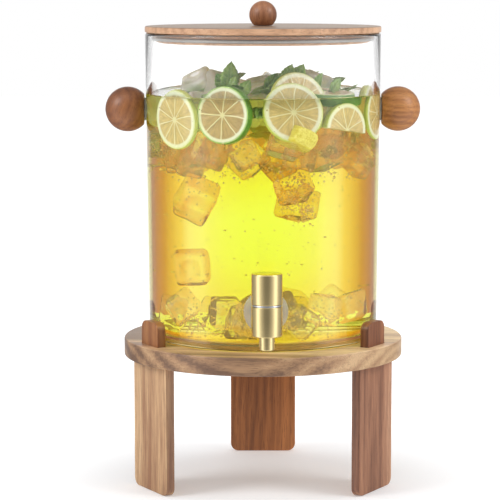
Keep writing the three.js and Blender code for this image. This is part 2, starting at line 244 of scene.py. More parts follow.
class Shader:
    """The nodes of a material or a world, built line by line."""

    def __init__(self, name, kind="Material"):
        self.block = (bpy.data.worlds if kind == "World" else bpy.data.materials).new(name)
        self.block.use_nodes = True
        self.tree = self.block.node_tree
        self.tree.nodes.clear()
        self.output = self.node("Output" + kind)

    def feed(self, socket, value):
        """Links a socket, or sets a number, a vector or a colour without its alpha."""
        if isinstance(value, bpy.types.NodeSocket):
            self.tree.links.new(value, socket)
        elif socket.type == "RGBA" and len(value) == 3:
            socket.default_value = (*value, 1)
        else:
            socket.default_value = value

    def node(self, kind, **inputs):
        """A shader node with its settings and inputs, whose names have underscores for spaces."""
        made = self.tree.nodes.new("ShaderNode" + kind)
        for key, value in inputs.items():
            name = key.replace("_", " ")
            if name in made.inputs:
                self.feed(made.inputs[name], value)
            else:
                setattr(made, key, value)
        return made

    def join(self, kind, *values, **settings):
        """A node whose inputs are given in order."""
        made = self.node(kind, **settings)
        for socket, value in zip(made.inputs, values):
            self.feed(socket, value)
        return made

    def math(self, operation, *values):
        return self.join("Math", *values, operation=operation).outputs[0]

    def times(self, a, b):
        return self.math("MULTIPLY", a, b)

    def scaled(self, value, factor, offset):
        return self.math("MULTIPLY_ADD", value, factor, offset)

    def mix(self, factor, a, b, blend="MIX"):
        """Mixes two colours."""
        made = self.node("Mix", data_type="RGBA", blend_type=blend)
        for socket, value in zip((made.inputs[0], made.inputs[6], made.inputs[7]), (factor, a, b)):
            self.feed(socket, value)
        return made.outputs[2]

    def choose(self, factor, first, second):
        """Mixes two shaders."""
        return self.join("MixShader", factor, first, second).outputs[0]

    def xyz(self, vector):
        return self.node("SeparateXYZ", Vector=vector).outputs

    def ramp(self, factor, stops, interpolation="LINEAR"):
        """A ramp from (position, colour or number) stops."""
        made = self.node("ValToRGB")
        made.color_ramp.interpolation = interpolation
        elements = made.color_ramp.elements
        while len(elements) < len(stops):
            elements.new(0.5)
        for element, (position, colour) in zip(elements, stops):
            element.position = position
            element.color = (*colour, 1) if isinstance(colour, tuple) else (colour, colour, colour, 1)
        self.feed(made.inputs[0], factor)
        return made.outputs[0]

    def noise(self, vector, scale, detail=3.0, roughness=0.5):
        made = self.node("TexNoise", Vector=vector, Scale=scale, Detail=detail, Roughness=roughness)
        return made.outputs[0]

    def place(self, vector, location=(0, 0, 0), rotation=(0, 0, 0), scale=(1, 1, 1)):
        return self.node(
            "Mapping", Vector=vector, Location=location, Rotation=rotation, Scale=scale
        ).outputs[0]

    def position(self):
        return self.node("TexCoord").outputs["Object"]

    def normal(self):
        return self.node("NewGeometry").outputs["Normal"]

    def bump(self, height, strength, distance):
        return self.node("Bump", Height=height, Strength=strength, Distance=distance).outputs[0]

    def surface(self, **inputs):
        """Ends the material in a Principled shader, and returns it."""
        shader = self.node("BsdfPrincipled", **inputs).outputs[0]
        self.feed(self.output.inputs["Surface"], shader)
        return shader


# --- wood


def wood(
    name, light, middle, dark, centre=(0, 0, 0), turn=(0, 0, 0), ring=4.5, streak=0.5, shift=0.0, tab=None,
    drift=None, top=None, lines=0.24, edge=None,
):
    """Oiled acacia. The grain runs along X after the turn; ring is the width of a growth ring in mm.

    streak is the strength of the broad streaks and lines that of the rings; shift moves the streaks.
    tab tints the wood above the board, top is painted light and shade on what faces up, drift changes the
    tone along X, and edge is a direction in degrees whose faces are darkened with painted shade.
    """
    s = Shader(name)
    p = s.place(s.position(), location=[-c for c in centre])
    p = s.place(p, rotation=turn)
    long = s.place(p, scale=(0.22, 1, 1))
    warp = s.node("TexNoise", Vector=long, Scale=14.0, Detail=3.0).outputs[1]
    q = s.join("VectorMath", warp, (0.03,) * 3, long, operation="MULTIPLY_ADD").outputs[0]
    _, y, z = s.xyz(q)
    squares = s.math("ADD", s.math("POWER", y, 2.0), s.math("POWER", z, 2.0))
    rings = s.times(s.math("SQRT", squares), 1000.0 / ring)
    figure = s.times(s.math("PINGPONG", rings, 0.5), 2.0)
    broad = s.noise(s.place(q, location=(shift, shift, 0), scale=(9, 30, 30)), 1.0, 4.0, 0.55)
    fibre = s.noise(s.place(p, scale=(24, 520, 520)), 1.0, 4.0, 0.6)
    fine = s.noise(s.place(p, scale=(70, 1500, 1500)), 1.0, 2.0, 0.5)
    tone = 0.5
    for part, weight in ((broad, 1.9 * streak), (figure, lines), (fibre, 0.42)):
        tone = s.scaled(s.math("SUBTRACT", part, 0.5), weight, tone)
    if drift:
        tone = s.scaled(s.xyz(s.position())[0], drift, tone)
    colour = s.ramp(tone, [(0.28, dark), (0.50, middle), (0.74, light)])
    pores = s.ramp(fine, [(0.32, 1.0), (0.42, 0.0)])
    colour = s.mix(s.times(pores, 0.5), colour, [0.4 * c for c in dark])
    if tab:
        above = s.math("GREATER_THAN", s.xyz(s.position())[2], board_high.z)
        colour = s.mix(above, colour, tab, "MULTIPLY")
    # Painted light and shade: what faces up is multiplied by top, lighter on the board's top and darker on
    # the lid's top.
    if top:
        up = s.ramp(s.xyz(s.normal())[2], [(0.5, 0.0), (0.9, 1.0)])
        colour = s.mix(up, colour, top, "MULTIPLY")
    # Painted shade: faces square to the edge direction, the legs' narrow sides, are darkened.
    if edge is not None:
        way = (math.cos(math.radians(edge)), math.sin(math.radians(edge)), 0)
        toward = s.join("VectorMath", s.normal(), way, operation="DOT_PRODUCT").outputs["Value"]
        share = s.ramp(s.math("ABSOLUTE", toward), [(0.75, 0.0), (0.95, 1.0)])
        colour = s.mix(share, colour, (0.62, 0.55, 0.53), "MULTIPLY")
    roughness = s.scaled(fibre, 0.22, 0.34)
    height = s.math("SUBTRACT", s.times(fibre, 0.6), s.times(pores, 0.5))
    s.surface(
        Base_Color=colour, Roughness=roughness, Normal=s.bump(height, 0.4, 0.0002),
        Coat_Weight=0.15, Coat_Roughness=0.22,
    )
    return s.block


UPRIGHT = (0, math.radians(90), 0)  # turns the grain to run up
# Painted light: top lightens the board's upper face.
board_wood = wood(
    "acacia_board", (0.61, 0.395, 0.21), (0.41, 0.23, 0.115), (0.175, 0.09, 0.05), centre=(0.05, 0.02, 0.0),
    turn=(0, 0, math.radians(8)), ring=11, streak=0.5, drift=1.6, top=(1.65, 1.8, 2.0),
)
# Painted shade: edge darkens the narrow sides of the front legs.
left_leg_wood = wood(
    "acacia_left_leg", (0.80, 0.58, 0.34), (0.62, 0.38, 0.20), (0.33, 0.155, 0.075),
    centre=(-0.06, -0.04, 0), turn=UPRIGHT, ring=9, streak=0.7, tab=(0.62, 0.40, 0.22), lines=0.08, edge=-60,
)
right_leg_wood = wood(
    "acacia_right_leg", (0.63, 0.34, 0.20), (0.40, 0.18, 0.095), (0.19, 0.073, 0.037),
    centre=(0.05, -0.02, 0), turn=UPRIGHT, ring=5, streak=0.6, tab=(0.8, 0.65, 0.48), lines=0.14, edge=-120,
)
rear_leg_wood = wood(
    "acacia_rear_leg", (0.55, 0.21, 0.062), (0.37, 0.133, 0.038), (0.19, 0.064, 0.019),
    centre=(0.02, 0.15, 0), turn=UPRIGHT, ring=6, streak=0.55, lines=0.16,
)
# Painted shade: top darkens the lid's upper face.
lid_wood = wood(
    "acacia_lid", (0.78, 0.48, 0.29), (0.60, 0.34, 0.195), (0.32, 0.155, 0.08), centre=(0, 0.07, 0.37),
    ring=8, streak=0.55, shift=3.0, top=(0.48, 0.54, 0.58), lines=0.12,
)
left_ball_wood = wood(
    "acacia_left_ball", (0.40, 0.15, 0.045), (0.24, 0.08, 0.025), (0.11, 0.036, 0.013),
    centre=(-0.11, 0.04, 0.30), turn=(0, math.radians(70), 0), ring=5, lines=0.12,
)
right_ball_wood = wood(
    "acacia_right_ball", (0.68, 0.33, 0.10), (0.50, 0.205, 0.06), (0.28, 0.10, 0.03),
    centre=(0.11, 0.02, 0.28), ring=5, lines=0.14,
)
knob_wood = wood(
    "acacia_knob", (0.52, 0.24, 0.11), (0.38, 0.155, 0.07), (0.19, 0.07, 0.033),
    centre=(0.0, 0.02, 0.40), turn=UPRIGHT, ring=5, lines=0.1,
)


def make_board():
    r = (board_high.x - board_low.x) / 2
    corners = [(0, board_low.z), (r, board_low.z, 1.5 * MM), (r, board_high.z, 1.5 * MM), (0, board_high.z)]
    piece = turned("board", corners, FINE, AT_AXIS, board_wood, "stand", steps=5)
    _, tab, inner, outer, _ = leg_sizes()
    slots = []
    for turn, _, _ in LEGS.values():
        low = (-tab - PLAY, inner - PLAY, board_low.z - 5 * MM)
        high = (tab + PLAY, outer + PLAY, board_high.z + 5 * MM)
        slots.append(box_mesh(low, high, AT_AXIS @ spin(turn)))
    cut(piece, slots)
    smooth(piece.data, 35)
    stand_in(piece, "stand_board")


LEGS = {  # each leg's turn about the jar's axis, its material and the name of that
    "leg_rear": (0.0, rear_leg_wood, "rear_leg_wood"),
    "leg_front_left": (2 * math.pi / 3, left_leg_wood, "left_leg_wood"),
    "leg_front_right": (-2 * math.pi / 3, right_leg_wood, "right_leg_wood"),
}


def leg_sizes():
    """The half widths of a leg and its tab, the distances of its faces from the axis, and its height."""
    low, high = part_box("leg_rear")
    tab = max(abs(v.co.x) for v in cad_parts["leg_rear"].data.vertices if v.co.z > board_high.z)
    return (high.x - low.x) / 2, tab, low.y - AXIS.y, high.y - AXIS.y, high.z


def make_leg(name, turn, material):
    """A plank with round-cornered feet, a shoulder under the board and a tab above it, edges eased."""
    half, tab, inner, outer, top = leg_sizes()
    shoulder = board_low.z - PLAY
    corner = 7 * MM
    outline = rounded(
        [
            (0, 0), (half, 0, corner), (half, shoulder, 0.8 * MM), (tab, shoulder, 0), (tab, top, corner),
            (-tab, top, corner), (-tab, shoulder, 0), (-half, shoulder, 0.8 * MM), (-half, 0, corner), (0, 0),
        ], steps=8,
    )[:-1]
    bm = bmesh.new()
    front = bm.faces.new([bm.verts.new((p.x, inner, p.y)) for p in outline])
    made = bmesh.ops.extrude_face_region(bm, geom=[front])["geom"]
    back = [v for v in made if isinstance(v, bmesh.types.BMVert)]
    bmesh.ops.translate(bm, verts=back, vec=(0, outer - inner, 0))
    bm.transform(AT_AXIS @ spin(turn))
    piece = add_piece(name + "_plank", bm, material, "stand", 40)
    bevel = piece.modifiers.new("eased edges", "BEVEL")
    bevel.width = 1.1 * MM
    bevel.segments = 3
    bevel.angle_limit = math.radians(50)
    apply_modifiers(piece)
    smooth(piece.data, 40)
    stand_in(piece, name)


# --- glass and drink


def clear(name, ior, edges=None, roughness=0.0, shadow=0.9, absorb=None, heights=None, milky=0.0):
    """Glass, drink or ice: clear to the eye, and light shines through it.

    edges is the tint by how far the surface turns away, from 0 for straight on to 1. heights, which
    needs edges too, tints the far side by height. shadow is the light let through, absorb the colour
    and density of the body, and milky the share that scatters light.
    """
    s = Shader(name)
    tint = (1, 1, 1)
    if edges:
        aslant = s.node("LayerWeight", Blend=0.5).outputs["Facing"]
        tint = s.ramp(aslant, edges)
    if heights:
        level = s.ramp(s.xyz(s.position())[2], heights)
        tint = s.mix(s.ramp(aslant, [(0.05, 1.0), (0.2, 0.15)]), tint, level, "MULTIPLY")
        tint = s.mix(s.node("NewGeometry").outputs["Backfacing"], tint, (1, 1, 1))
    shown = s.surface(Base_Color=tint, Roughness=roughness, IOR=ior, Transmission_Weight=1.0 - milky)
    through = s.node("BsdfTransparent", Color=(shadow,) * 3).outputs[0]
    path = s.node("LightPath").outputs
    for ray in ("Is Shadow Ray", "Is Diffuse Ray"):
        shown = s.choose(path[ray], shown, through)
    s.feed(s.output.inputs["Surface"], shown)
    if absorb:
        volume = s.node("VolumeAbsorption", Color=absorb[0], Density=absorb[1])
        s.feed(s.output.inputs["Volume"], volume.outputs[0])
    return s.block


DRINK_EDGES = [
    (0.0, (1.0, 1.0, 1.0)), (0.13, (1.0, 0.65, 1.0)), (0.17, (0.92, 0.40, 0.20)), (0.21, (0.70, 0.24, 0.04)),
    (0.26, (0.46, 0.10, 0.01)), (0.31, (0.37, 0.07, 0.10)), (0.34, (0.38, 0.12, 0.90)),
    (0.37, (0.75, 0.60, 1.0)), (0.42, (1.0, 1.0, 1.0)),
]
DRINK_HEIGHTS = [
    (0.13, (1.0, 0.75, 0.4)), (0.145, (0.95, 0.62, 0.3)), (0.16, (1.0, 0.74, 0.36)),
    (0.19, (1.0, 0.95, 0.5)), (0.222, (1.0, 1.0, 0.6)), (0.25, (1.0, 0.85, 0.2)), (0.275, (0.9, 0.5, 0.1)),
    (0.295, (0.75, 0.3, 0.1)),
]
ICE_EDGES = [
    (0.0, (0.98, 0.90, 0.74)), (0.06, (0.97, 0.85, 0.62)), (0.2, (0.92, 0.70, 0.42)),
    (0.5, (0.86, 0.58, 0.3)), (1.0, (0.86, 0.6, 0.34)),
]
CLOUDY_EDGES = [
    (0.0, (0.99, 0.92, 0.95)), (0.15, (0.97, 0.85, 0.85)), (0.4, (0.93, 0.76, 0.65)),
    (1.0, (0.92, 0.72, 0.6)),
]
BASE_ICE_EDGES = [
    (0.0, (1.0, 0.98, 0.9)), (0.1, (1.0, 0.95, 0.8)), (0.3, (1.0, 0.88, 0.65)), (1.0, (1.0, 0.85, 0.6)),
]
AIR_ICE_EDGES = [
    (0.0, (1.0, 0.99, 0.98)), (0.15, (0.99, 0.95, 0.93)), (0.5, (0.96, 0.89, 0.84)),
    (1.0, (0.95, 0.87, 0.82)),
]
WET_BASE_EDGES = [(0.0, (1.0, 0.9, 0.5)), (1.0, (1.0, 0.93, 0.6))]
# Painted light: the amber tint of the jar's base stands in for light that comes through the drink.
BASE_EDGES = [(0.0, (1.0, 0.8, 0.3)), (1.0, (1.0, 0.87, 0.4))]
BUBBLE_EDGES = [(0.0, (1.0, 0.9, 0.7)), (1.0, (1.0, 0.65, 0.35))]
GLASS_IOR = 1.5
DRINK_IOR = 1.34
DRINK_COLOUR = ((0.88, 0.921, 0.0), 14.0)  # colour and density of what the drink absorbs
glass_material = clear("clear_glass", GLASS_IOR, shadow=0.96)
wet_glass = clear("wet_glass", GLASS_IOR / DRINK_IOR, DRINK_EDGES, shadow=0.98, heights=DRINK_HEIGHTS)
wet_base = clear("wet_base", GLASS_IOR / DRINK_IOR, WET_BASE_EDGES, shadow=0.98)
# The base glass is tinted amber as painted light, which its milky share also shows.
base_glass_painted_light = clear("base_glass_painted_light", GLASS_IOR, BASE_EDGES, milky=0.18)
drink_material = clear("lemon_drink", 1.001, shadow=1.0, absorb=DRINK_COLOUR)
drink_surface = clear("lemon_drink_surface", DRINK_IOR, shadow=0.98, absorb=DRINK_COLOUR)
ice_material = clear("ice_in_drink", 1.07, ICE_EDGES, roughness=0.04, shadow=0.97, milky=0.04)
ice_cloudy = clear("ice_under_fruit", 1.05, CLOUDY_EDGES, roughness=0.12, shadow=0.97, milky=0.07)
ice_on_base = clear("ice_on_base", 1.022, BASE_ICE_EDGES, roughness=0.03, shadow=0.97, milky=0.1)
ice_afloat = clear("ice_afloat", 1.07, AIR_ICE_EDGES, roughness=0.03, shadow=0.98, milky=0.4)
bubble_material = clear("air_bubble", 0.8, BUBBLE_EDGES, milky=0.1)


def make_jar():
    rim = WALL / 2
    inner_top = RADIUS_TOP - WALL
    inner_bottom = RADIUS_BOTTOM - WALL
    floor = jar_low.z + BASE
    profile = rounded(
        [
            (0, jar_low.z + 1 * MM), (FOOT_RADIUS, jar_low.z + 1 * MM, 1 * MM),
            (FOOT_RADIUS + 2 * MM, jar_low.z, 1 * MM),
            (RADIUS_BOTTOM, jar_low.z, HEEL), (RADIUS_TOP, jar_high.z, rim * 0.98),
            (inner_top, jar_high.z, rim * 0.98), (jar_radius(WET_TOP) - WALL, WET_TOP, 0),
            (inner_bottom, floor, HEEL), (0, floor),
        ], steps=8,
    )
    bm = lathe(profile, 2 * FINE, ON_JAR)
    for face in bm.faces:
        middle = face.calc_center_median() - AXIS
        inside = middle.xy.length < jar_radius(middle.z) - WALL / 2 and middle.z > floor - PLAY
        # The underside and the outer heel get the base glass, with its painted amber light.
        low = middle.z < floor and middle.xy.length > FOOT_RADIUS - 4 * MM
        face.material_index = 2 if low else int(inside and middle.z < WET_TOP)
        if inside and middle.z < floor + HEEL:
            face.material_index = 3
    piece = add_piece("jar", bm, [glass_material, wet_glass, base_glass_painted_light, wet_base], "jar")
    inside, outside = RADIUS_BOTTOM / 2, 1.2 * RADIUS_TOP
    hole = [(0, inside), (TAP_HOLE, inside), (TAP_HOLE, outside), (0, outside)]
    small = [(0, -outside), (HANDLE_HOLE, -outside), (HANDLE_HOLE, outside), (0, outside)]
    tap_way = ON_JAR @ along((0, -1, 0), (0, 0, INLET))
    handle_way = ON_JAR @ along((1, 0, 0), (0, 0, HANDLE))
    cut(piece, [lathe(hole, MEDIUM, tap_way), lathe(small, COARSE, handle_way)])
    smooth(piece.data, 40)
    stand_in(piece, "glass_jar")


def make_drink():
    """The drink, up to its surface, with the thin rise where it meets the glass."""
    floor = jar_low.z + BASE + GAP
    low = RADIUS_BOTTOM - WALL - GAP
    high = jar_radius(WET_TOP) - WALL - GAP
    profile = rounded([(0, floor), (low, floor, HEEL), (high, WET_TOP)], steps=8)
    for reach, rise in ((0.3, 1.0), (0.8, 0.7), (1.6, 0.35), (3.0, 0.1), (5.0, 0.0)):
        profile.append(Vector((high - reach * MM, DRINK_TOP + rise * MM)))
    profile.append(Vector((0, DRINK_TOP)))
    bm = lathe(profile, 2 * FINE, AT_AXIS)
    for face in bm.faces:
        middle = face.calc_center_median() - AXIS
        on_top = middle.z > DRINK_TOP - GAP and middle.xy.length < high - GAP
        face.material_index = int(on_top)
    add_piece("drink", bm, [drink_material, drink_surface], "jar", 60)


# --- metal, silicone and rubber


def brushed_metal(name, colour, roughness, across=(0, 0, 1)):
    """Metal with fine turning lines; across is the direction that the lines are stacked in."""
    s = Shader(name)
    scale = [1800 if a else 30 for a in across]
    lines = s.noise(s.place(s.position(), scale=scale), 1.0, 2.0)
    cloud = s.noise(s.position(), 60.0, 2.0)
    tone = s.mix(cloud, [0.93 * c for c in colour], colour)
    rough = s.scaled(lines, 0.14, roughness - 0.07)
    s.surface(
        Base_Color=tone, Metallic=1.0, Roughness=rough, Normal=s.bump(lines, 0.06, 0.0001),
        Anisotropic=0.4,
    )
    return s.block


def soft_rubber(name, colour, roughness, clear_share=0.0):
    s = Shader(name)
    cloud = s.noise(s.position(), 180.0, 3.0)
    tone = s.mix(cloud, [0.9 * c for c in colour], colour)
    rough = s.scaled(cloud, 0.15, roughness)
    s.surface(
        Base_Color=tone, Roughness=rough, Transmission_Weight=clear_share, IOR=1.41,
        Normal=s.bump(cloud, 0.1, 0.0002),
    )
    return s.block


gold_metal = brushed_metal("brushed_gold", (0.84, 0.67, 0.34), 0.22)
steel_metal = brushed_metal("satin_steel", (0.72, 0.72, 0.73), 0.25)
pale_silicone = soft_rubber("pale_silicone", (1.0, 0.96, 0.90), 0.3, 0.65)
black_rubber = soft_rubber("black_rubber", (0.03, 0.03, 0.03), 0.6)


def make_tap():
    """The tap's visible pieces: body with neck and flange, ring, cap and spout."""
    r = (cap_high.x - cap_low.x) / 2
    place = Matrix.Translation(TAP) @ spin(TAP_TURN)
    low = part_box("tap_body")[0].z
    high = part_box("tap_ring")[1].z
    seam = high - RING_SHOW
    body = [(0, low), (r, low, 0.7 * MM), (r, seam - PLAY, 0.35 * MM), (0, seam - PLAY)]
    piece = turned("tap_barrel", body, MEDIUM, place, gold_metal, "jar")
    stand_in(piece, "tap_body")

    reach = (TAP - AXIS).length - r * 0.6
    flange = AXIS.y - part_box("tap_outer_washer")[0].y + PLAY
    step = flange + 2.5 * MM
    neck = [
        (0, flange), (12.2 * MM, flange, 0.4 * MM), (12.2 * MM, step, 0.8 * MM), (9 * MM, step, 1.2 * MM),
        (9 * MM, reach), (0, reach),
    ]
    way = ON_JAR @ along((0, -1, 0), (0, 0, INLET))
    turned("tap_neck", neck, MEDIUM, way, gold_metal, "jar")

    waist = r - 0.2 * MM
    ring = [(0, seam), (waist, seam, 0.3 * MM), (waist, high, 0.3 * MM), (0, high)]
    piece = turned("tap_gland_ring", ring, MEDIUM, place, steel_metal, "jar")
    stand_in(piece, "tap_ring")

    cap = [(0, cap_low.z), (r, cap_low.z, 0.35 * MM), (r, cap_high.z, 0.8 * MM), (0, cap_high.z)]
    piece = turned("tap_turning_cap", cap, MEDIUM, place, gold_metal, "tap_handle", steps=5)
    stand_in(piece, "tap_cap")

    spout_low, spout_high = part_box("tap_spout")
    out = (spout_high.x - spout_low.x) / 2
    bore = 3.8 * MM
    mouth, top = spout_low.z, low + 1 * MM
    spout = [(bore, mouth), (out, mouth, 0.8 * MM), (out, top), (bore, top), (bore, mouth)]
    piece = turned("tap_nozzle", spout, MEDIUM, place, gold_metal, "jar", closed=True)
    stand_in(piece, "tap_spout")


def wall_disc(name, replaced, turn, height, inner, outer, near, far):
    """A silicone washer bent to the glass, between two distances from the jar's wall, round a hole in it."""
    bm = bmesh.new()
    middle = (near + far) / 2
    rows = [(inner, near), (inner, far), (outer - 0.4 * MM, far), (outer, middle), (outer - 0.4 * MM, near)]
    rings = []
    for radius, offset in rows:
        ring = []
        for k in range(MEDIUM):
            a = 2 * math.pi * k / MEDIUM
            side, up = radius * math.cos(a), height + radius * math.sin(a)
            reach = jar_radius(up) + offset
            ring.append(bm.verts.new((side, -math.sqrt(reach**2 - side**2), up)))
        rings.append(ring)
    skin(bm, rings, True)
    bm.transform(ON_JAR @ spin(turn))
    stand_in(add_piece(name, bm, pale_silicone, "jar"), replaced)


def make_washers():
    near, inside = PLAY / 2, -WALL - PLAY / 2
    bore, wide, narrow = 7.4 * MM, 18.5 * MM, 13 * MM
    wall_disc("inlet_washer", "tap_outer_washer", 0, INLET, bore, wide, near, 3 * MM)
    wall_disc("inlet_seal", "tap_inner_washer", 0, INLET, bore, narrow, -WALL - 3 * MM, inside)
    bore, wide, narrow = 2.9 * MM, 10 * MM, 8 * MM
    for side, turn in (("left", -math.pi / 2), ("right", math.pi / 2)):
        outer, inner = f"handle_outer_washer_{side}", f"handle_inner_washer_{side}"
        wall_disc(f"ball_washer_{side}", outer, turn, HANDLE, bore, wide, near, 1.4 * MM)
        wall_disc(f"ball_seal_{side}", inner, turn, HANDLE, bore, narrow, -WALL - 1.6 * MM, inside)


def make_ball(side, direction, material):
    """A ball handle with a flat, slightly eased seat against its washer."""
    low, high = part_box(f"handle_ball_{side}")
    seat = jar_radius(HANDLE) + 1.5 * MM - BALL_REACH
    profile = ball_profile((high.z - low.z) / 2, seat, 48)
    place = ON_JAR @ along((direction, 0, 0), (direction * BALL_REACH, 0, HANDLE))
    piece = add_piece(f"ball_{side}", lathe(profile, MEDIUM, place), material, "jar")
    stand_in(piece, f"handle_ball_{side}")


# --- lid


def make_lid():
    r = (lid_high.x - lid_low.x) / 2
    disc = [(0, lid_low.z), (r, lid_low.z, 0.9 * MM), (r, lid_high.z, 1.2 * MM), (0, lid_high.z)]
    stand_in(turned("lid_top", disc, FINE, AT_AXIS, lid_wood, "lid", steps=5), "lid_disc")

    plug_low, plug_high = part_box("lid_plug")
    seal_low, seal_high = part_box("lid_seal")
    r = (plug_high.x - plug_low.x) / 2
    groove = r - 3 * MM
    low, high = seal_low.z - PLAY, seal_high.z + PLAY
    recess, recess_top = 7.5 * MM, plug_low.z + 4.5 * MM
    plug = [
        (0, recess_top), (recess, recess_top, 0), (recess, plug_low.z, 0.5 * MM), (r, plug_low.z, 0.8 * MM),
        (r, low, 0.2 * MM), (groove, low, 0), (groove, high, 0), (r, high, 0.2 * MM), (r, lid_low.z),
        (0, lid_low.z),
    ]
    stand_in(turned("lid_insert", plug, FINE, AT_AXIS, lid_wood, "lid"), "lid_plug")

    out, inner = (seal_high.x - seal_low.x) / 2, groove + PLAY
    low, high = seal_low.z, seal_high.z
    lip = [(inner, low), (out, low, 0.9 * MM), (out, high, 0.9 * MM), (inner, high), (inner, low)]
    piece = turned("lid_gasket", lip, FINE, AT_AXIS, pale_silicone, "lid", steps=5, closed=True)
    stand_in(piece, "lid_seal")

    low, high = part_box("lid_knob")
    r = (high.x - low.x) / 2
    centre = high.z - r
    place = Matrix.Translation(AXIS + Vector((0, 0, centre)))
    ball = lathe(ball_profile(r, low.z - centre, 40), MEDIUM, place)
    stand_in(add_piece("lid_ball", ball, knob_wood, "lid"), "lid_knob")


# --- what floats in the drink


def in_jar(angle, reach, height):
    """A point by its angle from the front in degrees, its distance from the axis and its height in mm."""
    a = math.radians(angle)
    return AXIS + Vector((reach * math.sin(a), -reach * math.cos(a), height)) * MM


def facing(point, angle, tilt=0.0, roll=0.0):
    """A matrix at a point. Its Z looks out at an angle from the front, tilted up; roll turns it about Z."""
    a, t = math.radians(angle), math.radians(tilt)
    look = Vector((math.sin(a) * math.cos(t), -math.cos(a) * math.cos(t), math.sin(t)))
    up = Vector((0, 0, 1))
    x = up.cross(look).normalized() if abs(look.z) < 0.99 else Vector((1, 0, 0))
    y = look.cross(x)
    basis = Matrix((x, y, look)).transposed().to_4x4()
    return Matrix.Translation(point) @ basis @ spin(math.radians(roll))


def citrus_material(name, radius, count, rind, rim, pith, flesh, membrane):
    """The cut face and rind of a citrus slice, in the slice's own polar coordinates."""
    s = Shader(name)
    p = s.place(s.position(), scale=(1 / radius,) * 3)
    x, y, _ = s.xyz(p)
    r = s.math("SQRT", s.math("ADD", s.times(x, x), s.times(y, y)))
    turn = s.times(s.math("ARCTAN2", y, x), count / (2 * math.pi))
    wobble = s.noise(p, 1.7, 2.0)
    turn = s.math("ADD", turn, s.times(wobble, 0.35))
    gap = s.times(s.math("PINGPONG", turn, 0.5), s.times(r, 2.0))
    across, out = s.times(turn, 5.5), s.times(r, 4.0)
    cells = s.join("CombineXYZ", across, out).outputs[0]
    pulp = s.node("TexVoronoi", Vector=cells, Scale=1.0, Randomness=1.0).outputs[0]
    juice = s.mix(s.times(pulp, 0.9), [1.12 * c for c in flesh], [0.72 * c for c in flesh])
    wall = s.ramp(gap, [(0.030, 1.0), (0.075, 0.0)])
    face = s.mix(wall, juice, membrane)
    core = s.ramp(r, [(0.05, 1.0), (0.12, 0.0)])
    face = s.mix(core, face, membrane)
    edge = s.math("ADD", r, s.times(s.noise(p, 6.0, 2.0), 0.03))
    for start, end, colour in ((0.82, 0.87, pith), (0.935, 0.965, rim), (0.992, 1.0, rind)):
        face = s.mix(s.ramp(edge, [(start, 0.0), (end, 1.0)]), face, colour)
    pores = s.noise(p, 22.0, 2.0)
    height = s.scaled(pulp, -0.8, s.times(wall, 0.5))
    height = s.scaled(pores, 0.3, height)
    s.surface(
        Base_Color=face, Roughness=0.35, Normal=s.bump(height, 0.5, 0.0006), Coat_Weight=0.2,
        Coat_Roughness=0.1,
    )
    return s.block


LEMON = {
    "rind": (0.60, 0.66, 0.12), "rim": (0.74, 0.79, 0.38), "pith": (0.84, 0.85, 0.60),
    "flesh": (0.68, 0.53, 0.21), "membrane": (0.86, 0.81, 0.50),
}
LIME = {
    "rind": (0.10, 0.27, 0.02), "rim": (0.42, 0.60, 0.16), "pith": (0.82, 0.85, 0.58),
    "flesh": (0.52, 0.38, 0.15), "membrane": (0.82, 0.77, 0.45),
}


def citrus_slice(name, place, radius, thickness, count, palette, half=False):
    """A slice with a bulged rind, segments that stand a little proud and membranes between them."""
    radius, thickness = radius * MM, thickness * MM
    material = citrus_material(name + "_skin", radius, count, **palette)
    bm = bmesh.new()
    around = 72 if half else 144
    columns = around + 1 if half else around
    angles = [(math.pi if half else 2 * math.pi) * k / around for k in range(columns)]
    shares = [0.06, 0.14, 0.24, 0.34, 0.44, 0.54, 0.64, 0.72, 0.79, 0.84, 0.88, 0.93, 0.975, 1.0]

    def height(share, a):
        """The cut face's height over the slice's middle. Its relief ends before the rind's eased edge."""
        if share == 1:
            return thickness / 2 - 0.8 * MM
        across = abs(((a * count / (2 * math.pi)) % 1.0) - 0.5) * 2
        swell = (1 - across**6) * 0.45 if 0.1 < share < 0.86 else 0.25
        ripple = 0.25 * noise.noise((share * 9 * math.cos(a), share * 9 * math.sin(a), count))
        return thickness / 2 + (swell + ripple) * MM

    def ring(share, sign):
        """A ring of vertices on the upper or lower face, or with a sign of 0 half way between them."""
        r = radius * share
        spots = [(r * math.cos(a), r * math.sin(a), sign * height(share, a)) for a in angles]
        return [bm.verts.new(spot) for spot in spots]

    rings = []
    for sign in (1, -1):
        centre = bm.verts.new((0, 0, sign * thickness / 2))
        rings.append([[centre] * columns] + [ring(share, sign) for share in shares])
    upper, lower = rings
    rings = [*upper, ring(1.012, 0), *reversed(lower)]
    skin(bm, rings, around=around)
    if half:
        for k in (0, -1):
            bm.faces.new([ring[k] for ring in rings])
    add_content(name, bm, material, place)


def ice_cube(name, place, size, seed, material):
    """A cube with melted corners, a slightly uneven surface and a well in one face."""
    rng = random.Random(seed)
    bm = bmesh.new()
    bmesh.ops.create_cube(bm, size=1)
    bmesh.ops.subdivide_edges(bm, edges=bm.edges, cuts=15, use_grid_fill=True)
    stretch = [rng.uniform(0.88, 1.06) for _ in range(3)]
    melt = rng.uniform(0.24, 0.36)
    for vert in bm.verts:
        flat = vert.co * 2
        core = Vector(max(melt - 1, min(1 - melt, c)) for c in flat)
        shape = core + (flat - core).normalized() * melt
        wave = 0.035 * noise.noise(flat * 1.6 + Vector((seed, 0, 0)))
        well = 0.30 * max(0.0, 1 - (flat.x**2 + flat.y**2) / 0.45) if flat.z > 0.99 else 0.0
        shape = shape * (1 + wave) - Vector((0, 0, well))
        vert.co = Vector(c * s for c, s in zip(shape, stretch)) * 0.5 * size * MM
    for limit, axis in ((28, "X"), (38, "Y"), (45, "Z")):
        place = place @ spin(math.radians(rng.uniform(-limit, limit)), axis)
    add_content(name, bm, material, place, 180)


